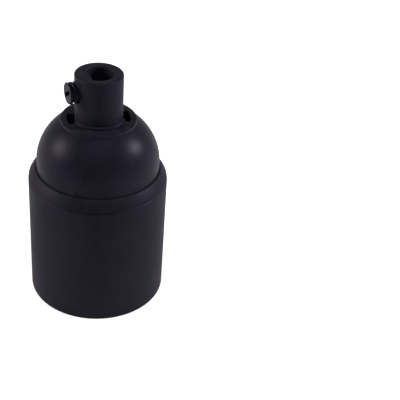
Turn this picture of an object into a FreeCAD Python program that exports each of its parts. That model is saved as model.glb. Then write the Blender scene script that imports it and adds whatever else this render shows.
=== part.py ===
import FreeCAD, Part
import math
import os
import re
import Sketcher

# Lamp holder with a cord grip, for a lamp with a 27 mm Edison screw cap.
# Millimetres. +Z up along the holder's axis, origin at the centre of the mouth's rim, mouth down.
# From the mouth upwards: plain skirt with the threaded sleeve inside it, domed cap, cord grip tube.

SIZES = {
    # the lamp's screw thread, in the sleeve inside the skirt
    "crest_radius": 12.3,
    "thread_depth": 1.05,
    "thread_pitch": 3.629,
    "thread_round": 1.5,
    "thread_break_width": 2.6,
    "thread_break_depth": 1.15,
    "thread_break_count": 4,
    "lead_width": 1.9,
    "lead_depth": 1.6,
    "relief_width": 1.3,
    "relief_depth": 9.0,
    "sleeve_wall": 1.75,
    "sleeve_lip": 0.6,
    # skirt: outer wall, shoulder, and the thick band under the lip
    "skirt_wall": 1.65,
    "skirt_height": 40.4,
    "rim_round": 0.5,
    "shoulder_height": 2.8,
    "shoulder_step": 0.15,
    "shoulder_bow": 8.0,
    "band_wall": 2.17,
    "lip_width": 0.3,
    "web_base": 9.4,
    "web_thickness": 1.6,
    "gusset_drop": 3.3,
    "gusset_thickness": 0.8,
    "gusset_count": 6,
    # twist lock: lugs in the skirt's band, grooves in the cap's wall
    "lug_drop": 5.4,
    "lug_seat": 1.0,
    "lug_height": 1.6,
    "lug_width": 2.4,
    "lug_reach": 0.75,
    "lug_count": 3,
    "lock_turn": 20.0,
    "lock_gap": 0.15,
    "lock_play": 1.0,
    # cap: wall, dome, collar and the roof's two windows
    "sleeve_gap": 0.28,
    "cap_wall": 1.75,
    "cap_gap": 0.2,
    "cap_tail": 6.0,
    "dome_rise": 1.8,
    "dome_radius": 15.14,
    "collar_width": 3.7,
    "collar_height": 0.9,
    "collar_round": 0.3,
    "roof_thickness": 2.1,
    "window_depth": 2.0,
    "window_angle": 42.0,
    "window_turn": 15.0,
    "stop_rib_length": 5.0,
    "stop_rib_reach": 1.2,
    "stop_rib_width": 1.2,
    "stop_rib_count": 4,
    # cord grip tube
    "tube_radius": 6.6,
    "tube_bore": 4.05,
    "tube_height": 13.35,
    "tube_round": 0.6,
    "bore_bevel": 0.3,
    "tube_fit": 0.1,
    "flat_depth": 1.15,
    "flange_reach": 1.9,
    "flange_thickness": 2.0,
    "bead_reach": 0.65,
    "bead_height": 0.5,
    "bead_slope": 0.25,
    "grip_turn": 28.0,
    # grip screw
    "grip_drop": 4.6,
    "grip_thread": 3.0,
    "grip_length": 6.0,
    "grip_chamfer": 0.4,
    "grip_slot_width": 1.0,
    "grip_slot_depth": 1.2,
    "grip_slot_turn": 162.0,
    "screw_fit": 0.05,
    # contact block, trapped between the sleeve and the cap's stop ribs
    "block_drop": 11.2,
    "block_thickness": 5.0,
    "block_fit": 0.25,
    "trough_depth": 1.4,
    "trough_width": 5.6,
    "trough_start": 4.0,
    "trough_margin": 0.6,
    # sprung strips
    "strip_thickness": 0.4,
    "strip_width": 4.6,
    "strip_margin": 1.0,
    "strip_bend": 6.0,
    "strip_tip": 1.6,
    "strip_drop": 2.3,
    "button_radius": 1.9,
    "button_height": 1.4,
    "side_strip_gap": 0.7,
    "side_strip_drop": 6.8,
    "side_strip_bow": 0.8,
    "side_strip_crown": 1.8,
    "side_strip_rise": 3.0,
    # terminals and their screws
    "terminal_offset": 8.0,
    "terminal_length": 6.6,
    "terminal_width": 6.4,
    "terminal_height": 7.0,
    "terminal_wall": 0.8,
    "terminal_top": 2.0,
    "screw_thread": 1.75,
    "screw_length": 7.0,
    "screw_head_radius": 2.9,
    "screw_head_height": 1.6,
    "screw_slot_width": 0.8,
    "screw_slot_depth": 0.8,
    "screw_lift": 1.3,
    "plate_thickness": 0.8,
    "plate_fit": 0.2,
    "rivet_radius": 1.0,
    "rivet_head_radius": 1.7,
    "rivet_head_height": 0.4,
}

# Radii and heights that follow from the sizes above, written as expressions of them.
# The radii run outwards from the lamp's thread, and the heights upwards from the mouth's rim.
DERIVED = {
    "RELIEF_RADIUS": "crest_radius + relief_width",
    "SLEEVE_RADIUS": "crest_radius + thread_depth + sleeve_wall",
    "CAP_BORE": "SLEEVE_RADIUS + sleeve_gap",
    "CAP_RADIUS": "CAP_BORE + cap_wall",
    "BAND_RADIUS": "CAP_RADIUS + cap_gap",
    "SKIRT_RADIUS": "BAND_RADIUS + band_wall",
    "SKIRT_BORE": "SKIRT_RADIUS - skirt_wall",
    "SLEEVE_FRONT": "web_base - sleeve_lip",
    "SHOULDER_BASE": "skirt_height - shoulder_height",
    "LUG_BASE": "skirt_height - lug_drop",
    "LUG_TOP": "LUG_BASE + lug_height",
    "BAND_BASE": "LUG_BASE - lug_seat",
    "CAP_FOOT": "LUG_BASE - cap_tail",
    "DOME_BASE": "skirt_height + dome_rise",
    "DOME_OFFSET": "CAP_RADIUS - dome_radius",
    "ROOF_HOLE": "tube_radius + tube_fit",
    "COLLAR_RADIUS": "ROOF_HOLE + collar_width",
    "COLLAR_BASE": "DOME_BASE + sqrt(dome_radius ^ 2 - (COLLAR_RADIUS - DOME_OFFSET) ^ 2)",
    "COLLAR_TOP": "COLLAR_BASE + collar_height",
    "ROOF_BASE": "COLLAR_TOP - roof_thickness",
    "INNER_DOME": "dome_radius - cap_wall",
    "ROOF_RADIUS": "DOME_OFFSET + sqrt(INNER_DOME ^ 2 - (ROOF_BASE - DOME_BASE) ^ 2)",
    "WINDOW_REACH": "ROOF_HOLE + window_depth",
    "FLANGE_RADIUS": "ROOF_HOLE + flange_reach",
    "BEAD_TOP": "COLLAR_TOP + bead_height + bead_slope",
    "TUBE_FOOT": "ROOF_BASE - flange_thickness",
    "TUBE_TOP": "COLLAR_TOP + tube_height",
    "GRIP_FLAT": "tube_bore - flat_depth",
    "GRIP_CENTRE": "TUBE_TOP - grip_drop",
    "BLOCK_BASE": "DOME_BASE - block_drop",
    "BLOCK_TOP": "BLOCK_BASE + block_thickness",
    "BLOCK_RADIUS": "CAP_BORE - block_fit",
    "THREAD_END": "BLOCK_BASE - relief_depth",
    "RELIEF_BASE": "THREAD_END + relief_width",
    "TROUGH_FLOOR": "BLOCK_BASE + trough_depth",
    "TROUGH_END": "RELIEF_RADIUS - trough_margin",
    "STRIP_END": "TROUGH_END - strip_margin",
    "STRIP_FACE": "TROUGH_FLOOR - strip_thickness",
    "STRIP_LOW": "STRIP_FACE - strip_drop",
    "SIDE_FOOT": "BLOCK_BASE - side_strip_drop",
    "SIDE_CROWN": "SIDE_FOOT + side_strip_crown",
    "SCREW_HOLE": "screw_thread + screw_fit",
    "TERMINAL_FLOOR": "BLOCK_TOP + terminal_wall",
    "TERMINAL_ROOF": "BLOCK_TOP + terminal_height - terminal_top",
    "PLATE_TOP": "TERMINAL_ROOF - screw_lift",
    "HEAD_BASE": "PLATE_TOP + screw_length",
    "LUG_ANGLE": "2 * asin(lug_width / 2 / (BAND_RADIUS - lug_reach)) / 1 deg",
    "ENTRY_SWEEP": "LUG_ANGLE + 2 * lock_play",
    "LOCK_SWEEP": "ENTRY_SWEEP + lock_turn",
}

# Two places closer than this are the same place.
NEAR = 0.02
PLANES = {"floor": "XY_Plane", "front": "XZ_Plane", "side": "YZ_Plane"}

doc = FreeCAD.newDocument("lamp_holder")
sheet = doc.addObject("Spreadsheet::Sheet", "Sizes")


def fill_sheet():
    """One row for each driving size: its name, and its value under an alias."""
    for row, (name, value) in enumerate(SIZES.items(), start=1):
        sheet.set("A%d" % row, name)
        sheet.set("B%d" % row, str(value))
        sheet.setAlias("B%d" % row, name)
    doc.recompute()


def cell(text):
    """Turns an expression of size names into one that reads the sheet."""
    while re.search("[A-Z]", text):
        text = re.sub("[A-Z][A-Z_]+", lambda word: "(" + DERIVED[word[0]] + ")", text)
    return re.sub("[a-z_]+", lambda word: "Sizes." + word[0] if word[0] in SIZES else word[0], text)


def value(text):
    return float(sheet.evalExpression(cell(text)))


def bind(item, **expressions):
    """Binds properties of an object to size expressions."""
    for name, text in expressions.items():
        setattr(item, name, value(text))
        item.setExpression(name, cell(text))


def new_body(label, turn=None):
    """A sub-part, turned about the holder's axis where its own X axis isn't the holder's."""
    body = doc.addObject("PartDesign::Body", label)
    body.Label = label
    body.Placement = FreeCAD.Placement()
    if turn:
        body.setExpression("Placement.Rotation.Angle", cell(turn))
    return body


def new_sketch(body, plane, name, lift=None, turn=None):
    """A sketch on one of the body's own origin planes, lifted along and turned about its normal."""
    sketch = body.newObject("Sketcher::SketchObject", name)
    support = next(item for item in body.Origin.OriginFeatures if item.Role == PLANES[plane])
    sketch.AttachmentSupport = (support, "")
    sketch.MapMode = "FlatFace"
    if lift:
        sketch.setExpression("AttachmentOffset.Base.z", cell(lift))
    if turn:
        sketch.setExpression("AttachmentOffset.Rotation.Angle", cell(turn))
    return sketch


def bowed_side(start, end, radius, outward):
    """An arc between two corners, bowed to the right if outward, and which of its ends comes first."""
    chord = end - start
    right = FreeCAD.Vector(chord.y, -chord.x, 0).normalize()
    depth = math.sqrt(radius ** 2 - (chord.Length / 2) ** 2)
    centre = (start + end) / 2 - right * depth * (1 if outward else -1)
    first, last = (start, end) if outward else (end, start)
    angles = [math.atan2(point.y - centre.y, point.x - centre.x) for point in (first, last)]
    arc = Part.ArcOfCircle(Part.Circle(centre, FreeCAD.Vector(0, 0, 1), radius), angles[0], angles[1])
    return arc, 1 if outward else 2


def outline(sketch, corners, bows=None):
    """A closed loop through the corners. bows gives a side's radius, and whether it bows outward."""
    bows = bows or {}
    points = [FreeCAD.Vector(value(across), value(up), 0) for across, up in corners]
    first = sketch.GeometryCount
    starts = []
    for index, point in enumerate(points):
        following = points[(index + 1) % len(points)]
        if index in bows:
            radius, outward = bows[index]
            arc, start = bowed_side(point, following, value(radius), outward)
            sketch.addGeometry(arc, False)
            starts.append(start)
        else:
            sketch.addGeometry(Part.LineSegment(point, following), False)
            starts.append(1)
    count = len(points)
    for index in range(count):
        following = (index + 1) % count
        end = 3 - starts[index]
        joint = Sketcher.Constraint("Coincident", first + index, end, first + following, starts[following])
        sketch.addConstraint(joint)
    for index, (across, up) in enumerate(corners):
        pin_corner(sketch, first + index, starts[index], across, up)
    for index, (radius, outward) in bows.items():
        number = sketch.addConstraint(Sketcher.Constraint("Radius", first + index, value(radius)))
        sketch.setExpression("Constraints[%d]" % number, cell(radius))


def pin_corner(sketch, side, end, across, up):
    """Holds one end of a side at a place worked out from the sizes."""
    for kind, axis, text in (("DistanceX", -2, across), ("DistanceY", -1, up)):
        if abs(value(text)) > 0:
            index = sketch.addConstraint(Sketcher.Constraint(kind, -1, 1, side, end, value(text)))
            sketch.setExpression("Constraints[%d]" % index, cell(text))
        else:
            sketch.addConstraint(Sketcher.Constraint("PointOnObject", side, end, axis))


def rectangle(sketch, left, right, low, high):
    outline(sketch, [(left, low), (right, low), (right, high), (left, high)])


def circle(sketch, across, up, radius):
    centre = FreeCAD.Vector(value(across), value(up), 0)
    index = sketch.addGeometry(Part.Circle(centre, FreeCAD.Vector(0, 0, 1), value(radius)), False)
    pin_corner(sketch, index, 3, across, up)
    number = sketch.addConstraint(Sketcher.Constraint("Radius", index, value(radius)))
    sketch.setExpression("Constraints[%d]" % number, cell(radius))


def feature(body, kind, sketch, name):
    """A sketch-based feature, which becomes the body's tip."""
    item = body.newObject("PartDesign::" + kind, name)
    item.Profile = sketch
    sketch.Visibility = False
    return item


def revolve(body, sketch, name):
    item = feature(body, "Revolution", sketch, name)
    item.ReferenceAxis = (sketch, ["V_Axis"])
    item.Angle = 360
    return item


def pad(body, sketch, name, length, midplane=False, backward=False):
    item = feature(body, "Pad", sketch, name)
    bind(item, Length=length)
    item.Midplane = midplane
    item.Reversed = backward
    return item


def check_cut(body, item, before):
    """A cut must take something away, or it points off the solid."""
    doc.recompute()
    if item.Shape.Volume >= before - 1e-6:
        raise RuntimeError("%s: %s cuts nothing" % (body.Label, item.Label))


def pocket(body, sketch, name, length, midplane=False, backward=False):
    doc.recompute()
    before = body.Shape.Volume
    item = feature(body, "Pocket", sketch, name)
    bind(item, Length=length)
    item.Midplane = midplane
    item.Reversed = backward
    check_cut(body, item, before)
    return item


def groove(body, sketch, name, angle="360"):
    doc.recompute()
    before = body.Shape.Volume
    item = feature(body, "Groove", sketch, name)
    item.ReferenceAxis = (sketch, ["V_Axis"])
    bind(item, Angle=angle)
    check_cut(body, item, before)
    return item


def repeat_round(body, features, name, count):
    """Copies features evenly round the body's own Z axis."""
    axis = next(item for item in body.Origin.OriginFeatures if item.Role == "Z_Axis")
    pattern = body.newObject("PartDesign::PolarPattern", name)
    pattern.Originals = features
    pattern.Axis = (axis, [""])
    pattern.Angle = 360
    pattern.Occurrences = round(value(count))
    pattern.setExpression("Occurrences", cell(count))
    body.Tip = pattern
    doc.recompute()
    return pattern


def tip_edges(body, wanted):
    """The tip, with the names of its edges whose middle point is wanted."""
    names = []
    for number, edge in enumerate(body.Tip.Shape.Edges, start=1):
        middle = edge.valueAt((edge.FirstParameter + edge.LastParameter) / 2)
        if wanted(middle):
            names.append("Edge%d" % number)
    return body.Tip, names


def round_edges(body, name, radius, rings):
    """Rounds the tip's edges about the holder's axis that have one of the given radii and heights."""
    doc.recompute()
    places = [(value(across), value(up)) for across, up in rings]

    def on_ring(point):
        across = math.hypot(point.x, point.y)
        return any(math.hypot(across - ring, point.z - level) < NEAR for ring, level in places)

    base = tip_edges(body, on_ring)
    item = body.newObject("PartDesign::Fillet", name)
    item.Base = base
    bind(item, Radius=radius)
    doc.recompute()
    return item


def bevel_ends(body, name, size, ends):
    """Bevels the tip's edges that lie in the planes at the given places along the body's X axis."""
    doc.recompute()
    places = [value(end) for end in ends]
    base = tip_edges(body, lambda point: any(abs(point.x - place) < NEAR for place in places))
    item = body.newObject("PartDesign::Chamfer", name)
    item.Base = base
    bind(item, Size=size)
    doc.recompute()
    return item


def make_skirt():
    """One moulding: outer wall, sloping shoulder, threaded inner sleeve on a web, gussets, lock lugs."""
    body = new_body("skirt", "window_turn + ENTRY_SWEEP / 2 + lock_turn")
    profile = new_sketch(body, "front", "skirt_profile")
    corners = [
        ("SKIRT_BORE", "0"),
        ("SKIRT_RADIUS", "0"),
        ("SKIRT_RADIUS", "SHOULDER_BASE"),
        ("SKIRT_RADIUS - shoulder_step", "SHOULDER_BASE"),
        ("BAND_RADIUS + lip_width", "skirt_height"),
        ("BAND_RADIUS", "skirt_height"),
        ("BAND_RADIUS", "BAND_BASE"),
        ("SKIRT_BORE", "BAND_BASE"),
        ("SKIRT_BORE", "web_base + web_thickness"),
        ("SLEEVE_RADIUS", "web_base + web_thickness"),
        ("SLEEVE_RADIUS", "BLOCK_BASE"),
        ("RELIEF_RADIUS", "BLOCK_BASE"),
        ("RELIEF_RADIUS", "RELIEF_BASE"),
        ("crest_radius", "THREAD_END"),
        ("crest_radius", "SLEEVE_FRONT + lead_depth"),
        ("crest_radius + lead_width", "SLEEVE_FRONT"),
        ("SLEEVE_RADIUS", "SLEEVE_FRONT"),
        ("SLEEVE_RADIUS", "web_base"),
        ("SKIRT_BORE", "web_base"),
    ]
    outline(profile, corners, {3: ("shoulder_bow", True)})
    revolve(body, profile, "skirt_wall_and_sleeve")
    round_edges(body, "rim_edges", "rim_round", [("SKIRT_BORE", "0"), ("SKIRT_RADIUS", "0")])
    add_gussets(body)
    add_lock_lugs(body)
    cut_thread_breaks(body)
    cut_lamp_thread(body)
    return body


def cut_thread_breaks(body):
    """Straight breaks in the thread's turns, a little deeper than them, which free the mould's core."""
    section = new_sketch(body, "floor", "thread_break_section", lift="SLEEVE_FRONT")
    inner = "crest_radius - thread_break_depth"
    outer = "crest_radius + thread_break_depth"
    rectangle(section, inner, outer, "-thread_break_width / 2", "thread_break_width / 2")
    cut = pocket(body, section, "thread_break", "THREAD_END - SLEEVE_FRONT", backward=True)
    repeat_round(body, [cut], "thread_breaks", "thread_break_count")


def cut_lamp_thread(body):
    """Rounded right-hand helical groove from the sleeve's front into the relief above the thread."""
    doc.recompute()
    before = body.Shape.Volume
    section = new_sketch(body, "front", "lamp_thread_section")
    root = "crest_radius + thread_depth"
    circle(section, root + " - thread_round", "SLEEVE_FRONT - thread_round", "thread_round")
    item = feature(body, "SubtractiveHelix", section, "lamp_thread")
    item.ReferenceAxis = (section, ["V_Axis"])
    item.Mode = 0
    bind(item, Pitch="thread_pitch", Height="RELIEF_BASE + 2 * thread_round - SLEEVE_FRONT")
    check_cut(body, item, before)


def add_gussets(body):
    """Thin triangles under the web, from the sleeve's foot down the outer wall."""
    section = new_sketch(body, "front", "gusset_section")
    inside_wall = "SKIRT_BORE + skirt_wall / 2"
    corners = [
        ("SLEEVE_RADIUS", "web_base"),
        ("SKIRT_BORE", "web_base - gusset_drop"),
        (inside_wall, "web_base - gusset_drop"),
        (inside_wall, "web_base + web_thickness / 2"),
        ("SLEEVE_RADIUS", "web_base + web_thickness / 2"),
    ]
    outline(section, corners)
    rib = pad(body, section, "gusset", "gusset_thickness", midplane=True)
    repeat_round(body, [rib], "gussets", "gusset_count")


def add_lock_lugs(body):
    """Lugs on the inside of the thick band, which turn in the cap's grooves."""
    section = new_sketch(body, "front", "lug_section")
    rectangle(section, "BAND_RADIUS - lug_reach", "BAND_RADIUS + lip_width", "LUG_BASE", "LUG_TOP")
    lug = pad(body, section, "lug", "lug_width", midplane=True)
    repeat_round(body, [lug], "lugs", "lug_count")


def make_cap():
    """One moulding: straight wall that drops into the skirt, dome, flat collar with a hole and windows."""
    body = new_body("cap", "window_turn")
    profile = new_sketch(body, "front", "cap_profile")
    corners = [
        ("CAP_BORE", "CAP_FOOT"),
        ("CAP_RADIUS", "CAP_FOOT"),
        ("CAP_RADIUS", "DOME_BASE"),
        ("COLLAR_RADIUS", "COLLAR_BASE"),
        ("COLLAR_RADIUS", "COLLAR_TOP"),
        ("ROOF_HOLE", "COLLAR_TOP"),
        ("ROOF_HOLE", "ROOF_BASE"),
        ("ROOF_RADIUS", "ROOF_BASE"),
        ("CAP_BORE", "DOME_BASE"),
    ]
    outline(profile, corners, {2: ("dome_radius", True), 7: ("INNER_DOME", False)})
    revolve(body, profile, "cap_wall_and_dome")
    round_edges(body, "collar_edge", "collar_round", [("COLLAR_RADIUS", "COLLAR_TOP")])
    cut_lock_grooves(body)
    add_stop_ribs(body)
    cut_windows(body)
    return body


def cut_lock_grooves(body):
    """L-shaped grooves in the wall's outside: a way in from the foot, and a run round to the locked place."""
    floor = "BAND_RADIUS - lug_reach - lock_gap"
    top = "LUG_TOP + lock_gap"
    entry_sketch = new_sketch(body, "front", "lock_entry_section")
    rectangle(entry_sketch, floor, "BAND_RADIUS", "CAP_FOOT - lock_gap", top)
    entry = groove(body, entry_sketch, "lock_entry", "ENTRY_SWEEP")
    run_sketch = new_sketch(body, "front", "lock_run_section")
    rectangle(run_sketch, floor, "BAND_RADIUS", "LUG_BASE - lock_gap", top)
    run = groove(body, run_sketch, "lock_run", "LOCK_SWEEP")
    repeat_round(body, [entry, run], "lock_grooves", "lug_count")


def add_stop_ribs(body):
    """Short ribs on the inside of the wall, whose feet hold the contact block down on the sleeve."""
    section = new_sketch(body, "front", "stop_rib_section")
    top = "BLOCK_TOP + stop_rib_length"
    rectangle(section, "CAP_BORE - stop_rib_reach", "CAP_BORE + cap_wall / 2", "BLOCK_TOP", top)
    rib = pad(body, section, "stop_rib", "stop_rib_width", midplane=True)
    repeat_round(body, [rib], "stop_ribs", "stop_rib_count")


def ring_sector(sketch, inner, outer, angle, away):
    """A sector of a ring, centred on the sketch's X axis, on its far side if away."""
    side = "-" if away else ""
    cosine = "cos(%s / 2 * 1 deg)" % angle
    sine = "sin(%s / 2 * 1 deg)" % angle
    corners = [
        (side + "(%s) * %s" % (inner, cosine), "-(%s) * %s" % (inner, sine)),
        (side + "(%s) * %s" % (outer, cosine), "-(%s) * %s" % (outer, sine)),
        (side + "(%s) * %s" % (outer, cosine), "(%s) * %s" % (outer, sine)),
        (side + "(%s) * %s" % (inner, cosine), "(%s) * %s" % (inner, sine)),
    ]
    outline(sketch, corners, {1: (outer, not away), 3: (inner, away)})


def cut_windows(body):
    """Two windows in the roof, one each side, open to the hole for the tube."""
    section = new_sketch(body, "floor", "window_section", lift="COLLAR_TOP")
    ring_sector(section, "ROOF_HOLE - tube_fit", "WINDOW_REACH", "window_angle", False)
    window = pocket(body, section, "window", "roof_thickness")
    repeat_round(body, [window], "windows", "2")


def make_tube():
    """Turned-looking moulding: flange under the cap's roof, snap bead above it, D-shaped bore."""
    body = new_body("cord_grip_tube", "grip_turn")
    profile = new_sketch(body, "front", "tube_profile")
    corners = [
        ("tube_bore", "TUBE_FOOT"),
        ("FLANGE_RADIUS", "TUBE_FOOT"),
        ("FLANGE_RADIUS", "ROOF_BASE"),
        ("tube_radius", "ROOF_BASE"),
        ("tube_radius", "COLLAR_TOP"),
        ("tube_radius + bead_reach", "COLLAR_TOP"),
        ("tube_radius + bead_reach", "COLLAR_TOP + bead_height"),
        ("tube_radius", "BEAD_TOP"),
        ("tube_radius", "TUBE_TOP"),
        ("tube_bore + bore_bevel", "TUBE_TOP"),
        ("tube_bore", "TUBE_TOP - bore_bevel"),
    ]
    outline(profile, corners)
    revolve(body, profile, "tube_wall_and_flange")
    add_grip_flat(body)
    round_edges(body, "tube_top_edge", "tube_round", [("tube_radius", "TUBE_TOP")])
    cut_flange_slots(body)
    cut_screw_hole(body)
    return body


def add_grip_flat(body):
    """Thickens the bore's wall on the screw's side, which makes the bore a D."""
    middle = "(tube_radius + tube_bore) / 2"
    section = new_sketch(body, "floor", "grip_flat_section", lift="TUBE_FOOT")
    half = "sqrt((tube_bore + bore_bevel) ^ 2 - GRIP_FLAT ^ 2) + tube_fit"
    rectangle(section, "-(%s)" % middle, "-GRIP_FLAT", "-(%s)" % half, half)
    pad(body, section, "grip_flat_wall", "TUBE_TOP - TUBE_FOOT")


def cut_flange_slots(body):
    """Slots in flange and bead that leave the cap's two windows open."""
    section = new_sketch(body, "floor", "slot_section", lift="BEAD_TOP", turn="window_turn - grip_turn")
    ring_sector(section, "tube_radius", "WINDOW_REACH + tube_fit", "window_angle", False)
    slot = pocket(body, section, "flange_slot", "BEAD_TOP - TUBE_FOOT")
    repeat_round(body, [slot], "flange_slots", "2")


def cut_screw_hole(body):
    """Cross hole for the grip screw, from the bore out through the thick side of the wall."""
    section = new_sketch(body, "side", "screw_hole_section")
    circle(section, "0", "GRIP_CENTRE", "grip_thread + screw_fit")
    pocket(body, section, "screw_hole", "2 * tube_radius", backward=False)


def make_grip_screw():
    """Headless slotted screw, its inner end level with the flat of the bore."""
    body = new_body("grip_screw", "grip_turn")
    centre = "GRIP_CENTRE"
    section = new_sketch(body, "side", "screw_section", lift="-GRIP_FLAT")
    circle(section, "0", centre, "grip_thread")
    pad(body, section, "screw_shank", "grip_length", backward=True)
    bevel_ends(body, "screw_ends", "grip_chamfer", ["-GRIP_FLAT", "-GRIP_FLAT - grip_length"])
    slot_sketch = new_sketch(body, "side", "slot_section", lift="-GRIP_FLAT - grip_length")
    slanted_slot(slot_sketch, centre)
    pocket(body, slot_sketch, "screw_slot", "grip_slot_depth", backward=True)
    return body


def slanted_slot(sketch, centre):
    """A long narrow rectangle through the screw's axis, turned by the slot's angle."""
    cosine = "cos(grip_slot_turn * 1 deg)"
    sine = "sin(grip_slot_turn * 1 deg)"
    long_half = "(2 * grip_thread)"
    short_half = "(grip_slot_width / 2)"
    corners = []
    for along, across in ((-1, -1), (1, -1), (1, 1), (-1, 1)):
        sideways = "%d * %s * %s - %d * %s * %s" % (along, long_half, cosine, across, short_half, sine)
        upward = "%d * %s * %s + %d * %s * %s" % (along, long_half, sine, across, short_half, cosine)
        corners.append((sideways, centre + " + " + upward))
    outline(sketch, corners)


def make_block():
    """Insulating disc with a trough below for the sprung strips and holes for the rivets."""
    body = new_body("contact_block", "window_turn")
    section = new_sketch(body, "floor", "block_section", lift="BLOCK_BASE")
    circle(section, "0", "0", "BLOCK_RADIUS")
    pad(body, section, "block_disc", "block_thickness")
    for name, start, end in (
        ("centre_trough", "-trough_start", "TROUGH_END"),
        ("side_trough", "-TROUGH_END", "-strip_bend"),
    ):
        trough = new_sketch(body, "floor", name + "_section", lift="BLOCK_BASE")
        rectangle(trough, start, end, "-trough_width / 2", "trough_width / 2")
        pocket(body, trough, name, "trough_depth", backward=True)
    holes = new_sketch(body, "floor", "rivet_holes", lift="BLOCK_BASE")
    circle(holes, "terminal_offset", "0", "rivet_radius")
    circle(holes, "-terminal_offset", "0", "rivet_radius")
    pocket(body, holes, "rivet_hole_pair", "block_thickness", backward=True)
    return body


def cut_rivet_hole(body, across):
    hole = new_sketch(body, "floor", "rivet_hole_section", lift="BLOCK_BASE")
    circle(hole, across, "0", "rivet_radius")
    pocket(body, hole, "rivet_hole", "trough_depth", backward=True)


def make_centre_contact():
    """Sprung strip: flat root in the trough, then a slope down to the end that carries the button."""
    body = new_body("centre_contact", "window_turn")
    profile = new_sketch(body, "front", "strip_profile")
    corners = [
        ("STRIP_END", "STRIP_FACE"),
        ("STRIP_END", "TROUGH_FLOOR"),
        ("strip_bend", "TROUGH_FLOOR"),
        ("strip_tip", "STRIP_LOW + strip_thickness"),
        ("-strip_tip - strip_thickness", "STRIP_LOW + strip_thickness"),
        ("-strip_tip - strip_thickness", "STRIP_LOW"),
        ("strip_tip", "STRIP_LOW"),
        ("strip_bend", "STRIP_FACE"),
    ]
    outline(profile, corners)
    pad(body, profile, "strip", "strip_width", midplane=True)
    cut_rivet_hole(body, "terminal_offset")
    return body


def make_contact_button():
    """Stud on the strip's end, which the lamp's centre contact presses."""
    body = new_body("centre_contact_button", "window_turn")
    section = new_sketch(body, "floor", "button_section", lift="STRIP_LOW")
    circle(section, "0", "0", "button_radius")
    pad(body, section, "button", "button_height", backward=True)
    return body


def make_side_contact():
    """Sprung strip down the inside of the sleeve's relief, bowed in to meet the lamp's threaded shell."""
    body = new_body("side_contact", "window_turn")
    profile = new_sketch(body, "front", "strip_profile")
    outer = "-(RELIEF_RADIUS - side_strip_gap)"
    inner = outer + " + strip_thickness"
    corners = [
        (outer, "TROUGH_FLOOR"),
        (outer, "SIDE_CROWN + side_strip_rise"),
        (outer + " + side_strip_bow", "SIDE_CROWN"),
        (outer, "SIDE_FOOT"),
        (inner, "SIDE_FOOT"),
        (inner + " + side_strip_bow", "SIDE_CROWN"),
        (inner, "SIDE_CROWN + side_strip_rise"),
        (inner, "STRIP_FACE"),
        ("-strip_bend - strip_thickness", "STRIP_FACE"),
        ("-strip_bend - strip_thickness", "TROUGH_FLOOR"),
    ]
    outline(profile, corners)
    pad(body, profile, "strip", "strip_width", midplane=True)
    cut_rivet_hole(body, "-terminal_offset")
    return body


def make_terminal(label, across):
    """Brass box, open at both ends for the wire, its thick top threaded for the screw."""
    body = new_body(label, "window_turn")
    half = "terminal_length / 2"
    wall = "terminal_length / 2 - terminal_wall"
    outside = new_sketch(body, "front", "outside_section")
    top = "BLOCK_TOP + terminal_height"
    rectangle(outside, across + " - " + half, across + " + " + half, "BLOCK_TOP", top)
    pad(body, outside, "box", "terminal_width", midplane=True)
    tunnel = new_sketch(body, "front", "tunnel_section")
    rectangle(tunnel, across + " - (" + wall + ")", across + " + " + wall, "TERMINAL_FLOOR", "TERMINAL_ROOF")
    pocket(body, tunnel, "wire_way", "terminal_width", midplane=True)
    hole = new_sketch(body, "floor", "screw_hole_section", lift="TERMINAL_ROOF")
    circle(hole, across, "0", "SCREW_HOLE")
    pocket(body, hole, "screw_hole", "terminal_top", backward=True)
    rivet = new_sketch(body, "floor", "rivet_hole_section", lift="BLOCK_TOP")
    circle(rivet, across, "0", "rivet_radius")
    pocket(body, rivet, "rivet_hole", "terminal_wall", backward=True)
    return body


def make_terminal_screw(label, across):
    """Slotted cheese-head screw, drawn back to leave room for a wire."""
    body = new_body(label, "window_turn")
    shank = new_sketch(body, "floor", "shank_section", lift="PLATE_TOP")
    circle(shank, across, "0", "screw_thread")
    pad(body, shank, "shank", "screw_length")
    head = new_sketch(body, "floor", "head_section", lift="HEAD_BASE")
    circle(head, across, "0", "screw_head_radius")
    pad(body, head, "head", "screw_head_height")
    slot = new_sketch(body, "floor", "slot_section", lift="HEAD_BASE + screw_head_height")
    left = across + " - 2 * screw_head_radius"
    right = across + " + 2 * screw_head_radius"
    rectangle(slot, left, right, "-screw_slot_width / 2", "screw_slot_width / 2")
    pocket(body, slot, "slot", "screw_slot_depth")
    return body


def make_clamp_plate(label, across):
    """Plate under the screw's end, which presses the wire on the box's floor."""
    body = new_body(label, "window_turn")
    half = "terminal_length / 2 - terminal_wall - plate_fit"
    section = new_sketch(body, "floor", "plate_section", lift="PLATE_TOP - plate_thickness")
    left = across + " - (" + half + ")"
    right = across + " + " + half
    rectangle(section, left, right, "-terminal_width / 2", "terminal_width / 2")
    pad(body, section, "plate", "plate_thickness")
    return body


def make_rivet(label, across):
    """Rivet through strip, block and terminal floor, with a formed head at each end."""
    body = new_body(label, "window_turn")
    shank = new_sketch(body, "floor", "shank_section", lift="STRIP_FACE")
    circle(shank, across, "0", "rivet_radius")
    pad(body, shank, "shank", "TERMINAL_FLOOR - STRIP_FACE")
    lower = new_sketch(body, "floor", "lower_head_section", lift="STRIP_FACE - rivet_head_height")
    circle(lower, across, "0", "rivet_head_radius")
    pad(body, lower, "lower_head", "rivet_head_height")
    upper = new_sketch(body, "floor", "upper_head_section", lift="TERMINAL_FLOOR")
    circle(upper, across, "0", "rivet_head_radius")
    pad(body, upper, "upper_head", "rivet_head_height")
    return body


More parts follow.
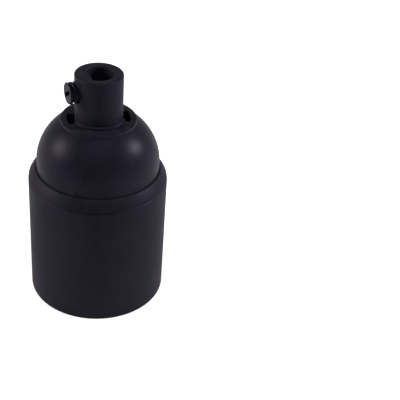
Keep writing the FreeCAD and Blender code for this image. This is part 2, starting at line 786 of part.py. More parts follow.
def make_terminals():
    """The live side lies at +X of the block, over the centre contact, and the neutral side at -X."""
    bodies = []
    for side, across in (("live", "terminal_offset"), ("neutral", "-terminal_offset")):
        bodies.append(make_terminal(side + "_terminal", across))
        bodies.append(make_terminal_screw(side + "_terminal_screw", across))
        bodies.append(make_clamp_plate(side + "_clamp_plate", across))
    bodies.append(make_rivet("centre_contact_rivet", "terminal_offset"))
    bodies.append(make_rivet("side_contact_rivet", "-terminal_offset"))
    return bodies


def check(bodies):
    """Every object must have recomputed, and every sub-part must be one or more valid solids."""
    doc.recompute()
    for item in doc.Objects:
        if "Invalid" in item.State or "Error" in item.State:
            raise RuntimeError("%s failed: %s" % (item.Label, item.State))
    for body in bodies:
        if body.Shape.isNull() or not body.Shape.isValid() or not body.Shape.Solids:
            raise RuntimeError("%s has no valid solid" % body.Label)


def write(bodies):
    os.makedirs("parts", exist_ok=True)
    for body in bodies:
        body.Shape.exportStep("parts/%s.step" % body.Label)
        box = body.Shape.BoundBox
        print("%-24s %9.2f mm3  z %.2f to %.2f" % (body.Label, body.Shape.Volume, box.ZMin, box.ZMax))


fill_sheet()
sub_parts = [make_skirt(), make_cap(), make_tube(), make_grip_screw()]
sub_parts += [make_block(), make_centre_contact(), make_contact_button(), make_side_contact()]
sub_parts += make_terminals()
check(sub_parts)
write(sub_parts)
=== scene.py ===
import bpy
import bmesh
import math
from mathutils import Matrix, Vector


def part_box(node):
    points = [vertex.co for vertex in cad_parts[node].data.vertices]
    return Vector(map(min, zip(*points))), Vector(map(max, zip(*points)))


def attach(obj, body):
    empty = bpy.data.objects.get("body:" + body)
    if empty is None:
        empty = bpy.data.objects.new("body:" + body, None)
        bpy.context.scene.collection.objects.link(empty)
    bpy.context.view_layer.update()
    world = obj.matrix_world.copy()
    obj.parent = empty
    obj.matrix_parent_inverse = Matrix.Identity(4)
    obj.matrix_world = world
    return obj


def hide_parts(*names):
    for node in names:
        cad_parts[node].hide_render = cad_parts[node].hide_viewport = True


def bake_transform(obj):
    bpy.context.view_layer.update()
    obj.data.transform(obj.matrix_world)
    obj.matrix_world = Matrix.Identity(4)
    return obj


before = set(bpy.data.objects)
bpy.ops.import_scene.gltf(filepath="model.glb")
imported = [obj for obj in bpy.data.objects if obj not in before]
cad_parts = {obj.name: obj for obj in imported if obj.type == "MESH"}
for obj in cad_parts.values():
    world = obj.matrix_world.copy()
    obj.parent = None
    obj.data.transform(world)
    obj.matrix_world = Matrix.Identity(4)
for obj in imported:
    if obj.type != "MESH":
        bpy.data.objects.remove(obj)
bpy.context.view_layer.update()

# Cap: the upper shell of the holder, a straight wall, a dome and a flat collar with a round hole.
# It is one compression moulding in black thermoset, taken from the mould with a fine matt grain.
# Two windows are open beside the hole, and the wall carries the grooves of the twist lock.

cap_low, cap_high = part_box("cap")
cap_foot, cap_radius, collar_top = cap_low.z * 1000, cap_high.x * 1000, cap_high.z * 1000
cap_wall = 1.75
cap_bore = cap_radius - cap_wall
dome_base, dome_radius = 42.2, 15.14
dome_centre = cap_radius - dome_radius
collar_radius, collar_round, edge_round = 10.4, 0.22, 0.12
roof_hole, roof_base = 6.7, collar_top - 2.1
window_reach, window_angle, window_turn = 8.7, 42, 15
lug_base, lug_height, lug_reach, lug_width = 35.0, 1.6, 0.75, 2.4
lock_gap, lock_play, lock_turn, run_overlap = 0.15, 1.0, 20, 0.01
band_radius = cap_radius + 0.2
entry_sweep = math.degrees(2 * math.asin(lug_width / 2 / (band_radius - lug_reach))) + 2 * lock_play
block_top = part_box("contact_block")[1].z * 1000
rib_reach, rib_root, rib_half, rib_height = 1.2, 0.9, 0.6, 5
tick_aside, tick_half = 0.45, 0.13
cap_tick_turn, cap_tick_low, cap_tick_high, cap_tick_proud = -102, 40.6, 41.7, 0.25
overlap, cutter_over = 0.3, 0.5
deep_black, cloudy_black = (0.0128, 0.0124, 0.0218), (0.0162, 0.0158, 0.0274)
flow_black, rosy_black = (0.0200, 0.0192, 0.0320), (0.0190, 0.0146, 0.0235)
grain_black, worn_black = (0.0240, 0.0230, 0.0360), (0.040, 0.037, 0.047)


def arc(across, up, radius, start, end, steps):
    """Points on an arc about a centre, the angles counted from level, outwards and up."""
    angles = [math.radians(start + (end - start) * step / steps) for step in range(steps + 1)]
    return [(across + radius * math.cos(turn), up + radius * math.sin(turn)) for turn in angles]


def turned(outline, steps=256, closed=True):
    """Spins an outline of radius and height, in millimetres, about the holder's axis."""
    mesh = bmesh.new()
    points = [mesh.verts.new((across, 0, up)) for across, up in outline]
    for near, far in zip(points, points[1:] + (points[:1] if closed else [])):
        mesh.edges.new((near, far))
    bmesh.ops.spin(mesh, geom=mesh.verts[:] + mesh.edges[:], cent=(0, 0, 0), axis=(0, 0, 1),
                   angle=math.tau, steps=steps, use_merge=True)
    bmesh.ops.remove_doubles(mesh, verts=mesh.verts, dist=0.0005)
    bmesh.ops.recalc_face_normals(mesh, faces=mesh.faces)
    return mesh


def round_rings(mesh, size, places, segments=3):
    """Rounds the ring edges that run at the given radii and heights."""
    def on_ring(point):
        across = math.hypot(point.x, point.y)
        return any(abs(across - ring) < 0.02 and abs(point.z - level) < 0.02 for ring, level in places)
    edges = [edge for edge in mesh.edges if all(on_ring(end.co) for end in edge.verts)]
    bmesh.ops.bevel(mesh, geom=edges, offset=size, affect="EDGES", segments=segments,
                    profile=0.5, material=-1)


def raised(mesh, face, reach):
    """Extrudes a face into a solid, by a vector."""
    pushed = bmesh.ops.extrude_face_region(mesh, geom=[face])["geom"]
    bmesh.ops.translate(mesh, vec=reach,
                        verts=[item for item in pushed if isinstance(item, bmesh.types.BMVert)])
    bmesh.ops.recalc_face_normals(mesh, faces=mesh.faces)
    return mesh


def block(plan, low, high):
    """A straight-sided solid on a plan of points, between two heights."""
    mesh = bmesh.new()
    foot = mesh.faces.new([mesh.verts.new((x, y, low)) for x, y in plan])
    return raised(mesh, foot, (0, 0, high - low))


def bar(inner, outer, middle, half, low, high):
    """A straight bar that runs outwards from the axis, between two reaches and two heights."""
    return block([(inner, middle - half), (outer, middle - half), (outer, middle + half),
                  (inner, middle + half)], low, high)


def sector(inner, outer, start, sweep, steps=24):
    """The plan of a piece of a ring."""
    far = arc(0, 0, outer, start, start + sweep, steps)
    return arc(0, 0, inner, start + sweep, start, steps) + far


def swung(mesh, turn, axis="Z"):
    """Turns a mesh about an axis through the origin, by an angle in degrees."""
    bmesh.ops.rotate(mesh, cent=(0, 0, 0), matrix=Matrix.Rotation(math.radians(turn), 3, axis),
                     verts=mesh.verts)
    return mesh


def merged(*meshes):
    """Several meshes as one, each moved into the first."""
    whole = meshes[0]
    for mesh in meshes[1:]:
        copy = bpy.data.meshes.new("copy")
        mesh.to_mesh(copy)
        whole.from_mesh(copy)
        bpy.data.meshes.remove(copy)
        mesh.free()
    return whole


def joined(mesh, other, operation):
    """The union or difference of two closed meshes."""
    pair = []
    for source in (mesh, other):
        data = bpy.data.meshes.new("half")
        source.to_mesh(data)
        source.free()
        half = bpy.data.objects.new("half", data)
        bpy.context.scene.collection.objects.link(half)
        pair.append(half)
    step = pair[0].modifiers.new("step", "BOOLEAN")
    step.object, step.operation, step.solver = pair[1], operation, "MANIFOLD"
    bpy.context.view_layer.update()
    result = bmesh.new()
    result.from_object(pair[0], bpy.context.evaluated_depsgraph_get())
    for half in pair:
        data = half.data
        bpy.data.objects.remove(half)
        bpy.data.meshes.remove(data)
    return result


def placed(mesh, name, body, material, replaced):
    """The finished piece in metres, with soft shading between faces that meet at a small angle.
    The body is a name, which the piece is fixed to. For a piece that bends it is two names and the places where
    the bend starts and ends; these are not used, and the piece is left fixed where it stands, in no body."""
    bmesh.ops.scale(mesh, vec=(0.001, 0.001, 0.001), verts=mesh.verts)
    for face in mesh.faces:
        face.smooth = True
    for edge in mesh.edges:
        edge.smooth = edge.calc_face_angle(0) < math.radians(32)
    data = bpy.data.meshes.new(name)
    mesh.to_mesh(data)
    mesh.free()
    piece = bpy.data.objects.new(name, data)
    bpy.context.scene.collection.objects.link(piece)
    data.materials.append(material)
    if isinstance(body, str):
        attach(piece, body)
    else:
        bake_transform(piece)
    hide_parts(replaced)


class Flow:
    """A value that runs through a material's nodes, and takes part in ordinary sums."""

    def __init__(self, tree, socket=None):
        self.tree, self.socket = tree, socket

    def node(self, kind, settings=None, inputs=None, output=0):
        """Any node, from its type, its settings and the values or links of its sockets."""
        made = self.tree.nodes.new("ShaderNode" + kind)
        for name, value in (settings or {}).items():
            setattr(made, name, value)
        for name, value in (inputs or {}).items():
            if isinstance(value, Flow):
                self.tree.links.new(value.socket, made.inputs[name])
            elif isinstance(value, tuple) and made.inputs[name].type == "RGBA":
                made.inputs[name].default_value = (*value, 1)
            else:
                made.inputs[name].default_value = value
        return Flow(self.tree, made.outputs[output])

    def sum(self, operation, *values):
        return self.node("Math", {"operation": operation}, dict(enumerate(values)))

    def __add__(self, other):
        return self.sum("ADD", self, other)

    def __sub__(self, other):
        return self.sum("SUBTRACT", self, other)

    def __rsub__(self, other):
        return self.sum("SUBTRACT", other, self)

    def __mul__(self, other):
        return self.sum("MULTIPLY", self, other)

    def __abs__(self):
        return self.sum("ABSOLUTE", self)

    __radd__, __rmul__ = __add__, __mul__

    def fade(self, start, end):
        """0 below start, 1 above end, with a soft change between."""
        return self.node("MapRange", {"interpolation_type": "SMOOTHSTEP"},
                         {"Value": self, "From Min": start, "From Max": end})

    def parts(self):
        """The three coordinates of a place or a direction."""
        outputs = self.node("SeparateXYZ", None, {0: self}).socket.node.outputs
        return [Flow(self.tree, outputs[axis]) for axis in range(3)]

    def stretched(self, scale, turn=(0, 0, 0)):
        """A place turned and scaled, so that a pattern on it is drawn out."""
        return self.node("Mapping", None, {"Vector": self, "Scale": scale, "Rotation": turn})

    def noise(self, size, detail=3.0, roughness=0.55):
        """Cloudy pattern over a place, whose lumps are about the given size in millimetres."""
        return self.node("TexNoise", None, {"Vector": self, "Scale": 1000 / size, "Detail": detail,
                                            "Roughness": roughness})

    def blend(self, factor, first, second):
        """A colour between two colours."""
        return self.node("Mix", {"data_type": "RGBA"}, {0: factor, 6: first, 7: second}, output=2)


def new_material(name):
    """An empty material, and the flow to build it with."""
    material = bpy.data.materials.new(name)
    material.use_nodes = True
    material.node_tree.nodes.clear()
    return material, Flow(material.node_tree)


def finish_material(flow, shader):
    """Links the finished shader to the material's output."""
    output = flow.tree.nodes.new("ShaderNodeOutputMaterial")
    flow.tree.links.new(shader.socket, output.inputs["Surface"])


def black_moulding(name, gloss, wear_height=None, seam_turn=None):
    """Black thermoset with a violet cast: fine grain, cloudy sheen, handling marks and fine dust.
    A worn edge may run at a height in millimetres, and a parting line down the wall at an angle."""
    material, flow = new_material(name)
    place = flow.node("TexCoord", output=3)
    east, north, level = place.parts()
    grain = place.noise(0.45, detail=4, roughness=0.7)
    cloud = place.noise(7.0, detail=2)
    flow_marks = place.stretched((1, 1, 0.18)).noise(2.4)
    specks = flow.node("TexVoronoi", {"feature": "F1"}, {"Vector": place, "Scale": 620.0})
    dust = (1 - specks.fade(0.06, 0.12)) * place.noise(2.9, detail=1).fade(0.62, 0.7)
    rubbed = place.stretched((0.25, 1.6, 1.2), (0.3, 0.5, 0.9))
    scuffs = rubbed.noise(0.9).fade(0.66, 0.74) * cloud.fade(0.5, 0.62)
    wear = dust * 0.5 + scuffs * 0.3
    if wear_height is not None:
        edge = 1 - abs(level - wear_height * 0.001).fade(0.0, 0.0006)
        wear = wear + edge * flow_marks.fade(0.42, 0.7) * 0.25
    colour = flow.blend(cloud.fade(0.3, 0.75), deep_black, cloudy_black)
    colour = flow.blend(flow_marks.fade(0.45, 0.75) * 0.5, colour, flow_black)
    colour = flow.blend(place.noise(12.0, detail=2).fade(0.48, 0.72) * 0.5, colour, rosy_black)
    colour = flow.blend(grain.fade(0.45, 0.75) * 0.4, colour, grain_black)
    colour = flow.blend(wear, colour, worn_black)
    roughness = gloss + (cloud - 0.5) * 0.12 + (grain - 0.5) * 0.08 + wear * 0.12
    relief = grain * 0.6 + flow_marks * 0.25
    if seam_turn is not None:
        turn = math.radians(seam_turn)
        side = abs(north * math.cos(turn) - east * math.sin(turn))
        front = (east * math.cos(turn) + north * math.sin(turn)).fade(0.0, 0.002)
        seam = (1 - side.fade(0.00005, 0.00022)) * front * (1 - level.fade(0.004, 0.012))
        relief = relief + seam * 3.0
    bump = flow.node("Bump", None, {"Strength": 0.3, "Distance": 0.00005, "Height": relief})
    finish_material(flow, flow.node("BsdfPrincipled", None, {
        "Base Color": colour, "Roughness": roughness, "Normal": bump, "Specular IOR Level": 0.105,
        "Specular Tint": (0.77, 0.74, 1.0)}))
    return material


shell = turned(
    [(cap_bore, cap_foot), (cap_radius, cap_foot)]
    + arc(dome_centre, dome_base, dome_radius, 0,
          math.degrees(math.acos((collar_radius - dome_centre) / dome_radius)), 28)
    + [(collar_radius, collar_top), (roof_hole, collar_top), (roof_hole, roof_base)]
    + arc(dome_centre, dome_base, dome_radius - cap_wall,
          math.degrees(math.asin((roof_base - dome_base) / (dome_radius - cap_wall))), 0, 24))
round_rings(shell, collar_round, [(collar_radius, collar_top)])
round_rings(shell, edge_round, [(roof_hole, collar_top), (cap_radius, cap_foot), (cap_bore, cap_foot)])
for turn in (0, 120, 240):
    entry = block(sector(band_radius - lug_reach - lock_gap, band_radius + overlap,
                         window_turn + turn - entry_sweep / 2, entry_sweep),
                  cap_foot - 2 * cutter_over, lug_base + lug_height + lock_gap)
    shell = joined(shell, entry, "DIFFERENCE")
    run = block(sector(band_radius - lug_reach - lock_gap, band_radius + overlap,
                       window_turn + turn + entry_sweep / 2 - run_overlap, lock_turn),
                lug_base - lock_gap, lug_base + lug_height + lock_gap)
    shell = joined(shell, run, "DIFFERENCE")
windows = merged(*(block(sector(roof_hole - overlap, window_reach,
                                window_turn + turn - window_angle / 2, window_angle),
                         roof_base - cutter_over, collar_top + cutter_over) for turn in (0, 180)))
shell = joined(shell, windows, "DIFFERENCE")
ribs = [swung(bar(cap_bore - rib_reach, cap_bore + rib_root, 0, rib_half, block_top, block_top + rib_height),
              window_turn + turn) for turn in (0, 90, 180, 270)]
ribs += [swung(bar(cap_radius - overlap, cap_radius + cap_tick_proud, aside, tick_half,
                   cap_tick_low, cap_tick_high), cap_tick_turn) for aside in (-tick_aside, tick_aside)]
shell = joined(shell, merged(*ribs), "UNION")
cap_moulding = black_moulding("cap black thermoset", 0.38, wear_height=collar_top)
placed(shell, "cap_shell", "cap", cap_moulding, "cap")

# Cord grip tube: the neck that the cord goes through, pressed up through the collar's hole from inside.
# A moulded flange stops it below the roof and a snap bead holds it above, so it can't turn or drop.
# Its bore is a D, flat on the side where the grip screw comes in.

tube_low, tube_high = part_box("cord_grip_tube")
tube_foot, tube_top = tube_low.z * 1000, tube_high.z * 1000
tube_radius, tube_bore, bore_bevel, grip_flat = 6.6, 4.05, 0.3, 2.9
flange_radius, bead_radius, bead_height, bead_slope = 8.6, 7.25, 0.5, 0.25
top_round, bevel_round, bead_round, flange_round = 0.4, 0.06, 0.25, 0.15
grip_turn, grip_level = 28, tube_top - 4.6
drill_radius, drill_length, drill_middle = 3.05, 8, -5.5
neck_skin, slot_gap = 0.02, 0.1

bead_top = collar_top + bead_height
neck = turned(
    [(tube_bore, tube_foot), (flange_radius, tube_foot), (flange_radius, roof_base), (tube_radius, roof_base),
     (tube_radius, collar_top), (bead_radius, collar_top), (bead_radius, bead_top),
     (tube_radius, bead_top + bead_slope), (tube_radius, tube_top),
     (tube_bore + bore_bevel, tube_top), (tube_bore, tube_top - bore_bevel)], steps=240)
round_rings(neck, top_round, [(tube_radius, tube_top)], segments=5)
round_rings(neck, bevel_round, [(tube_bore + bore_bevel, tube_top), (tube_bore, tube_top - bore_bevel)])
round_rings(neck, bead_round, [(bead_radius, bead_top)])
round_rings(neck, flange_round, [(flange_radius, tube_foot), (flange_radius, roof_base), (tube_bore, tube_foot)])
for point in neck.verts:
    if math.hypot(point.co.x, point.co.y) < tube_bore + bore_bevel + 0.1:
        point.co.x = max(point.co.x, -grip_flat)
drill = bmesh.new()
bmesh.ops.create_cone(drill, cap_ends=True, segments=72, radius1=drill_radius, radius2=drill_radius,
                      depth=drill_length)
swung(drill, 90, "Y")
bmesh.ops.translate(drill, vec=(drill_middle, 0, grip_level), verts=drill.verts)
neck = joined(neck, drill, "DIFFERENCE")
slots = merged(*(block(sector(tube_radius + neck_skin, window_reach + slot_gap,
                              window_turn - grip_turn + turn - window_angle / 2, window_angle),
                       tube_foot - cutter_over, bead_top + bead_slope + slot_gap) for turn in (0, 180)))
neck = swung(joined(neck, slots, "DIFFERENCE"), grip_turn)
tube_moulding = black_moulding("tube black thermoset", 0.48, wear_height=tube_top - 0.2)
placed(neck, "grip_tube", "cap", tube_moulding, "cord_grip_tube")

# Grip screw: a headless slotted screw moulded in glass-filled nylon, so that no metal touches the cord.
# It is run in through the side of the tube until its flat end bears on the cord.

screw_radius, screw_pitch, screw_depth = 3.0, 1.25, 0.55
screw_out, screw_in, screw_rows = 8.9, 2.9, 90
tip_chamfer, end_chamfer = 0.4, 0.2
valley_half, valley_flat = 0.36, 1.15
end_land, end_fade, tip_fade = 0.15, 0.5, 0.6
slot_reach, slot_half, slot_depth, slot_turn = 2.1, 0.6, 1.2, -53

thread_length = screw_out - screw_in - tip_chamfer - end_chamfer
rod = turned([(0, screw_in), (screw_radius - tip_chamfer, screw_in)]
             + [(screw_radius, screw_in + tip_chamfer + thread_length * row / screw_rows)
                for row in range(screw_rows + 1)]
             + [(screw_radius - end_chamfer, screw_out), (0, screw_out)], steps=96, closed=False)
for point in rod.verts:
    if math.hypot(point.co.x, point.co.y) > screw_radius - 0.01:
        phase = (point.co.z / screw_pitch - math.atan2(point.co.y, point.co.x) / math.tau) % 1
        valley = max(0.0, 1 - abs(phase - 0.5) / valley_half)
        fade = min(1.0, (screw_out - end_land - point.co.z) / end_fade, (point.co.z - screw_in) / tip_fade)
        scale = 1 - screw_depth / screw_radius * min(1.0, valley * valley_flat) * max(0.0, fade)
        point.co.x, point.co.y = point.co.x * scale, point.co.y * scale
driver = swung(bar(-slot_reach, slot_reach, 0, slot_half, screw_out - slot_depth, screw_out + 1), slot_turn)
rod = swung(joined(rod, driver, "DIFFERENCE"), -90, "Y")
bmesh.ops.translate(rod, vec=(0, 0, grip_level), verts=rod.verts)
swung(rod, grip_turn)
screw_moulding = black_moulding("screw black nylon", 0.4)
placed(rod, "cord_grip_screw", "grip_screw", screw_moulding, "grip_screw")

# Contact block: a thick disc of the same thermoset, trapped between the sleeve's top and the stop ribs
# in the cap. It carries every live piece, and a trough below it holds the roots of both strips.


def dressed(node, material):
    """Gives a node of the frame its finish."""
    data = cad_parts[node].data
    data.materials.clear()
    data.materials.append(material)


dressed("contact_block", black_moulding("block black thermoset", 0.5))

# Rivets and terminals: brass rivets pass through the block and clamp the sprung strips below
# to the terminal frames above. The frames are folded from brass strip and left bright from the press.


def metal(name, light, dark, gloss, stretch, stain):
    """Rolled or drawn metal: fine lines along the piece, cloudy tarnish, small dull spots."""
    material, flow = new_material(name)
    place = flow.node("TexCoord", output=3)
    lines = place.stretched(stretch).noise(0.5, detail=5)
    spots = place.noise(0.7, detail=2).fade(0.6, 0.7)
    tarnish = place.noise(2.6).fade(0.42, 0.72) * stain + spots * stain * 0.5
    roughness = gloss + (lines - 0.5) * 0.16 + tarnish * 0.22
    bump = flow.node("Bump", None, {"Strength": 0.2, "Distance": 0.00003, "Height": lines + spots * 0.3})
    finish_material(flow, flow.node("BsdfPrincipled", None, {
        "Base Color": flow.blend(tarnish, light, dark), "Metallic": 1 - tarnish * 0.25,
        "Roughness": roughness, "Normal": bump}))
    return material


rivet_metal = metal("rivet brass", (0.78, 0.57, 0.27), (0.42, 0.28, 0.12), 0.32, (1, 1, 1), 0.55)
terminal_metal = metal("terminal brass", (0.74, 0.55, 0.27), (0.40, 0.27, 0.12), 0.3, (0.2, 1, 1), 0.6)
for contact in ("centre", "side"):
    dressed(contact + "_contact_rivet", rivet_metal)
for wire in ("live", "neutral"):
    dressed(wire + "_terminal", terminal_metal)

# Sprung strips: the centre contact and the side contact, stamped from phosphor bronze strip and bent.
# The centre strip's root is clamped, and its free end has a brass button that the lamp's tip presses up.

strip_bend, strip_tip, strip_cuts = 6.0, 1.6, 6

strip_metal = metal("strip bronze", (0.62, 0.40, 0.22), (0.30, 0.17, 0.09), 0.28, (0.15, 1, 1), 0.7)
button_metal = metal("button brass", (0.76, 0.56, 0.28), (0.45, 0.31, 0.15), 0.3, (1, 1, 1), 0.4)
along = Vector((math.cos(math.radians(window_turn)), math.sin(math.radians(window_turn)), 0))
strip = bmesh.new()
strip.from_mesh(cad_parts["centre_contact"].data)
bmesh.ops.remove_doubles(strip, verts=strip.verts, dist=0.000001)
bmesh.ops.scale(strip, vec=(1000, 1000, 1000), verts=strip.verts)
for step in range(1, strip_cuts):
    bmesh.ops.bisect_plane(strip, geom=strip.verts[:] + strip.edges[:] + strip.faces[:], dist=0.0001,
                           plane_co=along * (strip_tip + (strip_bend - strip_tip) * step / strip_cuts),
                           plane_no=along)
placed(strip, "centre_strip", ("cap", "centre_contact", along * strip_bend * 0.001, along * strip_tip * 0.001),
       strip_metal, "centre_contact")
dressed("side_contact", strip_metal)
dressed("centre_contact_button", button_metal)

# Terminal screws and clamp plates: zinc-plated steel screws, each driving a small steel plate
# that presses the wire's bare end down onto the terminal's floor.

screw_metal = metal("zinc-plated steel", (0.62, 0.63, 0.64), (0.36, 0.35, 0.33), 0.34, (1, 1, 1), 0.4)
plate_metal = metal("plate steel", (0.56, 0.57, 0.58), (0.32, 0.31, 0.30), 0.38, (1, 0.2, 1), 0.5)
for wire in ("live", "neutral"):
    dressed(wire + "_terminal_screw", screw_metal)
    dressed(wire + "_clamp_plate", plate_metal)

# Skirt: the lower shell, which the cap drops into and turns to lock, and which the lamp screws into.
# It is one moulding too: outer wall, sloping shoulder, and a threaded inner sleeve held on a web
# with six thin gussets. The thread has four straight breaks, where the mould's core came away.

skirt_low, skirt_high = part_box("skirt")
skirt_radius, skirt_height = skirt_high.x * 1000, skirt_high.z * 1000
skirt_bore = skirt_radius - 1.65
wall_top, groove_depth, groove_slope, groove_step = skirt_height - 3.5, 0.32, 0.28, 0.08
ring_radius, ring_low, ring_top = skirt_radius - 0.13, skirt_height - 3.0, skirt_height - 2.7
lip_inner, lip_radius = cap_radius + 0.02, cap_radius + 0.42
lip_low, band_top, band_base = skirt_height - 0.6, skirt_height - 0.8, lug_base - 1.0
shoulder_bow, shoulder_steps = 14, 7
web_base, web_thickness = 9.4, 1.6
sleeve_radius, sleeve_front, sleeve_top = 15.1, 8.8, 31.0
crest_radius, thread_depth, thread_pitch, thread_round = 12.3, 1.05, 3.629, 1.5
relief_radius, thread_end, relief_base = 13.6, 22.0, 23.3
lead_radius, lead_top = 14.2, 10.4
lead_rows, thread_rows, relief_rows = 6, 52, 5
break_half, break_depth = 1.3, 1.15
fin_half, fin_drop, fin_root = 0.4, 3.3, 0.8
foot_round, shoulder_round, wall_round, lip_round = 0.5, 0.2, 0.18, 0.06
skirt_tick_turn, tick_root, tick_inset = -108, 0.6, 0.01
skirt_turn = window_turn + entry_sweep / 2 + lock_turn


def bowed(start, end, radius, steps):
    """Points on a shallow arc that bulges outwards and up between two points."""
    middle = ((start[0] + end[0]) / 2, (start[1] + end[1]) / 2)
    chord = math.dist(start, end)
    rise = math.sqrt(radius ** 2 - chord ** 2 / 4)
    normal = ((end[1] - start[1]) / chord, (start[0] - end[0]) / chord)
    centre = (middle[0] - normal[0] * rise, middle[1] - normal[1] * rise)
    angles = [math.degrees(math.atan2(point[1] - centre[1], point[0] - centre[0])) for point in (start, end)]
    return arc(*centre, radius, *angles, steps)


bore_rows = [(lead_radius + (crest_radius - lead_radius) * row / lead_rows,
              sleeve_front + (lead_top - sleeve_front) * row / lead_rows) for row in range(lead_rows + 1)]
bore_rows += [(crest_radius, lead_top + (thread_end - lead_top) * row / thread_rows)
              for row in range(1, thread_rows + 1)]
bore_rows += [(crest_radius + (relief_radius - crest_radius) * row / relief_rows,
               thread_end + (relief_base - thread_end) * row / relief_rows)
              for row in range(1, relief_rows + 1)]
wall = turned(
    [(skirt_bore, 0), (skirt_radius, 0), (skirt_radius, wall_top),
     (skirt_radius - groove_depth, wall_top + groove_slope),
     (skirt_radius - groove_depth, ring_low - groove_step), (ring_radius, ring_low)]
    + bowed((ring_radius, ring_top), (lip_radius, skirt_height), shoulder_bow, shoulder_steps)
    + [(lip_inner, skirt_height), (lip_inner, lip_low), (band_radius, band_top),
       (band_radius, band_base), (skirt_bore, band_base),
       (skirt_bore, web_base + web_thickness), (sleeve_radius, web_base + web_thickness),
       (sleeve_radius, sleeve_top), (relief_radius, sleeve_top)]
    + bore_rows[::-1]
    + [(sleeve_radius, sleeve_front), (sleeve_radius, web_base), (skirt_bore, web_base)])
for point in wall.verts:
    across, level = math.hypot(point.co.x, point.co.y), point.co.z
    if across < relief_radius + 0.7 and sleeve_front - 0.01 < level < relief_base + 0.01:
        turn = math.degrees(math.atan2(point.co.y, point.co.x)) - skirt_turn
        offset = (level - (sleeve_front - thread_round) - thread_pitch * turn / 360) % thread_pitch
        offset = min(offset, thread_pitch - offset)
        reach = across
        if offset < thread_round:
            reach = max(reach, crest_radius + thread_depth - thread_round
                        + math.sqrt(thread_round ** 2 - offset ** 2))
        aside = math.radians((turn + 45) % 90 - 45)
        if level < thread_end and abs(across * math.sin(aside)) < break_half:
            reach = max(reach, (crest_radius + break_depth) / math.cos(aside))
        point.co.x, point.co.y = point.co.x * reach / across, point.co.y * reach / across
round_rings(wall, foot_round, [(skirt_bore, 0), (skirt_radius, 0)], segments=5)
round_rings(wall, shoulder_round, [(ring_radius, ring_top), (lip_radius, skirt_height)], segments=4)
round_rings(wall, wall_round, [(skirt_radius, wall_top)])
round_rings(wall, lip_round, [(lip_inner, skirt_height), (ring_radius, ring_low)])
extras = []
for number in range(6):
    fin = bmesh.new()
    corners = [(sleeve_radius - overlap, web_base + 0.5), (sleeve_radius, web_base),
               (skirt_bore, web_base - fin_drop), (skirt_bore + fin_root, web_base - fin_drop),
               (skirt_bore + fin_root, web_base + 0.5)]
    flank = fin.faces.new([fin.verts.new((across, -fin_half, up)) for across, up in corners])
    extras.append(swung(raised(fin, flank, (0, 2 * fin_half, 0)), skirt_turn + 60 * number))
for number in range(3):
    lug = bar(band_radius - lug_reach, band_radius + overlap, 0, lug_width / 2, lug_base, lug_base + lug_height)
    extras.append(swung(lug, skirt_turn + 120 * number))
for aside in (-tick_aside, tick_aside):
    tick = bar(skirt_radius - tick_root, skirt_radius - tick_inset, aside, tick_half,
               wall_top - 0.1, ring_top - 0.15)
    extras.append(swung(tick, skirt_tick_turn))
wall = joined(wall, merged(*extras), "UNION")
skirt_moulding = black_moulding("skirt black thermoset", 0.5, wear_height=skirt_height - 0.1, seam_turn=-79.5)
placed(wall, "skirt_shell", "skirt", skirt_moulding, "skirt")

# Stage: a pale sheet on a table, a small soft lamp at each side, a large one high in front, and a
# light room behind. The camera looks down on the holder from the front, a little tilted.

floor_mesh = bmesh.new()
bmesh.ops.create_grid(floor_mesh, x_segments=8, y_segments=8, size=4)
floor_data = bpy.data.meshes.new("table_sheet")
floor_mesh.to_mesh(floor_data)
floor_mesh.free()
floor = bpy.data.objects.new("table_sheet", floor_data)
bpy.context.scene.collection.objects.link(floor)


def ray_kinds(flow):
    """1 where a ray comes from the camera, off something glossy, or through something clear."""
    outputs = flow.node("LightPath").socket.node.outputs
    return [Flow(flow.tree, outputs["Is %s Ray" % kind]) for kind in ("Camera", "Glossy", "Transmission")]


paper, flow = new_material("white paper")
camera_ray, glossy_ray, clear_ray = ray_kinds(flow)
east, north = flow.node("TexCoord", output=3).parts()[:2]
far_off = (east * east + north * north).fade(0.06, 0.6)
glow_strength = flow.sum("MAXIMUM", camera_ray, clear_ray) * (0.75 + far_off * 0.25) + glossy_ray * 0.1
matt = flow.node("BsdfDiffuse", None, {"Color": (0.86, 0.86, 0.87)})
glow = flow.node("Emission", None, {"Color": (1, 1, 1), "Strength": glow_strength})
finish_material(flow, flow.node("AddShader", None, {0: matt, 1: glow}))
floor_data.materials.append(paper)

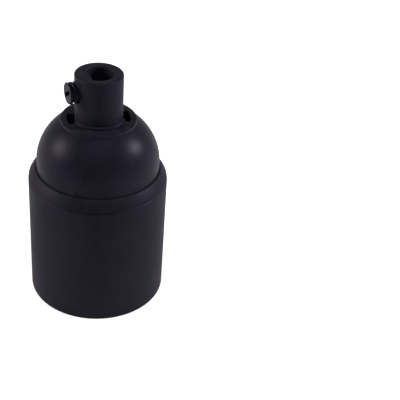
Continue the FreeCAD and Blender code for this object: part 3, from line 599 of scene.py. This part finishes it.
world = bpy.data.worlds.new("room")
bpy.context.scene.world = world
world.use_nodes = True
world.node_tree.nodes.clear()
flow = Flow(world.node_tree)
camera_ray, glossy_ray, clear_ray = ray_kinds(flow)
behind, height = flow.node("TexCoord", output=0).parts()[1:]
room_light = 0.06 + behind.fade(-0.2, 0.9) * (1 - height.fade(0.25, 0.8)) * 0.26
sweep = glossy_ray * (1 - height.fade(0.0, 0.09))
shown = flow.sum("MAXIMUM", flow.sum("MAXIMUM", camera_ray, sweep), clear_ray)
strength = shown + (1 - shown) * room_light
backdrop = flow.node("Background", None, {"Color": (1, 1, 1), "Strength": strength})
output = world.node_tree.nodes.new("ShaderNodeOutputWorld")
world.node_tree.links.new(backdrop.socket, output.inputs["Surface"])


def soft_lamp(name, turn, rise, distance, size, power, colour):
    """A square soft lamp aimed at the holder's middle, its place given by two angles and a distance."""
    data = bpy.data.lights.new(name, "AREA")
    data.shape, data.size, data.energy, data.color = "SQUARE", size, power, colour
    lamp = bpy.data.objects.new(name, data)
    bpy.context.scene.collection.objects.link(lamp)
    turn, rise = math.radians(turn), math.radians(rise)
    away = Vector((math.cos(turn) * math.cos(rise), math.sin(turn) * math.cos(rise), math.sin(rise)))
    lamp.location = Vector((0, 0, 0.04)) + away * distance
    lamp.rotation_euler = away.to_track_quat("Z", "Y").to_euler()


soft_lamp("right_lamp", turn=9, rise=29, distance=0.55, size=0.1, power=2.1, colour=(1.0, 0.96, 0.95))
soft_lamp("left_lamp", turn=-175, rise=25, distance=0.6, size=0.2, power=2.4, colour=(1.0, 0.9, 0.89))
soft_lamp("front_lamp", turn=-80, rise=62, distance=0.7, size=0.5, power=0.6, colour=(1.0, 1.0, 1.0))

pitch, roll = 0.60065, 0.083244
ahead = Vector((0, math.cos(pitch), -math.sin(pitch)))
upright = Vector((1, 0, 0)).cross(ahead)
right = math.cos(roll) * Vector((1, 0, 0)) + math.sin(roll) * upright
above = -math.sin(roll) * Vector((1, 0, 0)) + math.cos(roll) * upright
camera_data = bpy.data.cameras.new("camera")
camera_data.lens, camera_data.sensor_width = 85.5, 36
camera_data.clip_start, camera_data.clip_end = 0.01, 20
camera = bpy.data.objects.new("camera", camera_data)
bpy.context.scene.collection.objects.link(camera)
camera.matrix_world = Matrix((right, above, -ahead)).transposed().to_4x4()
camera.location = (0.029277, -0.224291, 0.184998)
bpy.context.scene.camera = camera
bpy.context.scene.view_settings.view_transform = "Standard"
